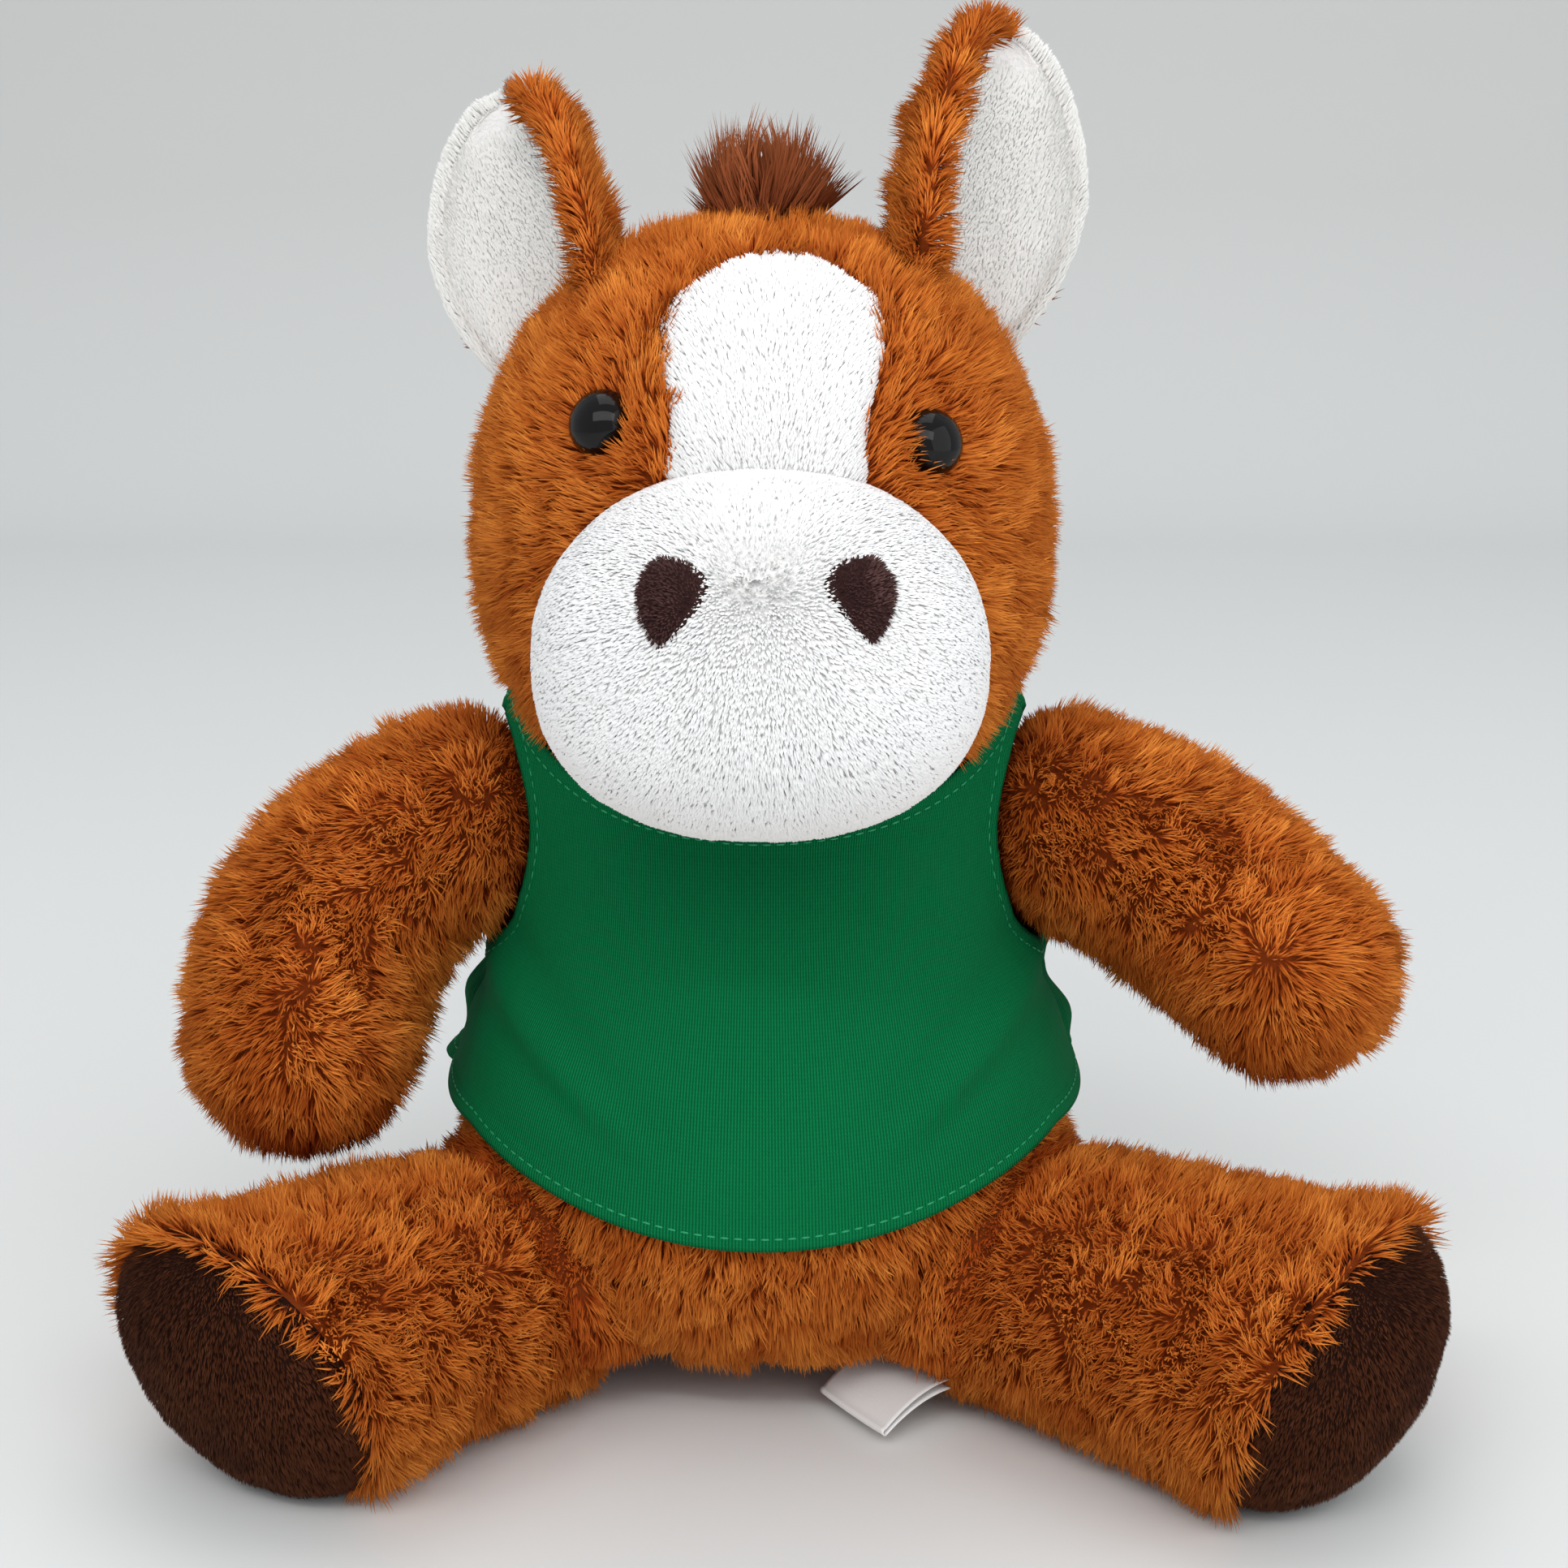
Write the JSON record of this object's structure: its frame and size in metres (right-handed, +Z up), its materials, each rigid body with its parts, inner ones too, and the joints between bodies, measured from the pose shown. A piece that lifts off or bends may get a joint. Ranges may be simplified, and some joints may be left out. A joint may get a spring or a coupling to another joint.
{
  "type": "plush horse",
  "caption": "Sitting stuffed toy horse in long brown pile with a white muzzle and blaze, dark domed soles and a sleeveless green knit shirt; head, arms, legs, ears and tail swing on seams.",
  "frame": {"origin": "middle of the flat seat under the torso, on the surface it sits on", "axes": "+Z up, the toy faces -Y, its own left is +X"},
  "size_m": [0.2256, 0.1824, 0.2415],
  "materials": {
    "brown_plush": "long clumping pile",
    "dark_plush": "long straight pile",
    "white_velour": "short soft pile",
    "hoof_velour": "short dense pile",
    "nostril_velour": "short pile",
    "green_knit": "fine rib knit",
    "satin": "satin weave",
    "eye_gloss": "polished",
    "washer_plastic": "moulded",
    "fill_fibre": "loose fibre filling",
    "pellet_cloth": "plain weave bag of pellets"
  },
  "bodies": {
    "body": {"torso_cover": "brown_plush", "torso_stuffing": "fill_fibre", "pellet_bag": "pellet_cloth", "shirt_front": "green_knit", "shirt_back": "green_knit", "care_label": "satin"},
    "neck": {"neck_stuffing": "fill_fibre"},
    "head": {"head_cover": "brown_plush", "head_stuffing": "fill_fibre", "muzzle_cover": "white_velour", "muzzle_stuffing": "fill_fibre", "blaze": "white_velour", "nostril_left": "nostril_velour", "nostril_right": "nostril_velour", "eye_left": "eye_gloss", "eye_right": "eye_gloss", "eye_washer_left": "washer_plastic", "eye_washer_right": "washer_plastic", "mane": "dark_plush"},
    "arm_right": {"arm_cover_right": "brown_plush", "arm_stuffing_right": "fill_fibre"},
    "arm_left": {"arm_cover_left": "brown_plush", "arm_stuffing_left": "fill_fibre"},
    "leg_right": {"leg_cover_right": "brown_plush", "sole_right": "hoof_velour", "leg_stuffing_right": "fill_fibre"},
    "leg_left": {"leg_cover_left": "brown_plush", "sole_left": "hoof_velour", "leg_stuffing_left": "fill_fibre"},
    "ear_right": {"ear_back_right": "brown_plush", "ear_lining_right": "white_velour"},
    "ear_left": {"ear_back_left": "brown_plush", "ear_lining_left": "white_velour"},
    "tail": {"tail": "dark_plush"}
  },
  "joints": [
    {"name": "head_turn", "type": "hinge", "parent": "body", "child": "neck", "pos_m": [0, -0.015, 0.151], "axis": [0, 0, 1], "range_deg": [-30, 30], "stiffness_Nm_per_rad": 1},
    {"name": "head_nod", "type": "hinge", "parent": "neck", "child": "head", "pos_m": [0, -0.015, 0.151], "axis": [-1, 0, 0], "range_deg": [-10, 15], "stiffness_Nm_per_rad": 1},
    {"name": "arm_right_swing", "type": "hinge", "parent": "body", "child": "arm_right", "pos_m": [-0.0555, -0.006, 0.1], "axis": [-1, 0, 0], "range_deg": [-60, 75], "stiffness_Nm_per_rad": 0.2},
    {"name": "arm_left_swing", "type": "hinge", "parent": "body", "child": "arm_left", "pos_m": [0.0555, -0.006, 0.1], "axis": [-1, 0, 0], "range_deg": [-60, 75], "stiffness_Nm_per_rad": 0.2},
    {"name": "leg_right_swing", "type": "hinge", "parent": "body", "child": "leg_right", "pos_m": [-0.04, -0.029, 0.024], "axis": [-0.6561, 0.7547, 0], "range_deg": [-35, 5], "stiffness_Nm_per_rad": 0.3},
    {"name": "leg_left_swing", "type": "hinge", "parent": "body", "child": "leg_left", "pos_m": [0.04, -0.029, 0.024], "axis": [-0.6018, -0.7986, 0], "range_deg": [-35, 5], "stiffness_Nm_per_rad": 0.3},
    {"name": "ear_right_fold", "type": "hinge", "parent": "head", "child": "ear_right", "pos_m": [-0.0295, -0.008, 0.1895], "axis": [0.7096, -0.5645, 0.4218], "range_deg": [-12, 12], "stiffness_Nm_per_rad": 0.02},
    {"name": "ear_left_fold", "type": "hinge", "parent": "head", "child": "ear_left", "pos_m": [0.0285, -0.008, 0.196], "axis": [0.7345, 0.6252, -0.264], "range_deg": [-12, 12], "stiffness_Nm_per_rad": 0.02},
    {"name": "tail_lift", "type": "hinge", "parent": "body", "child": "tail", "pos_m": [0, 0.049, 0.029], "axis": [1, 0, 0], "range_deg": [-5, 20], "stiffness_Nm_per_rad": 0.02}
  ]
}
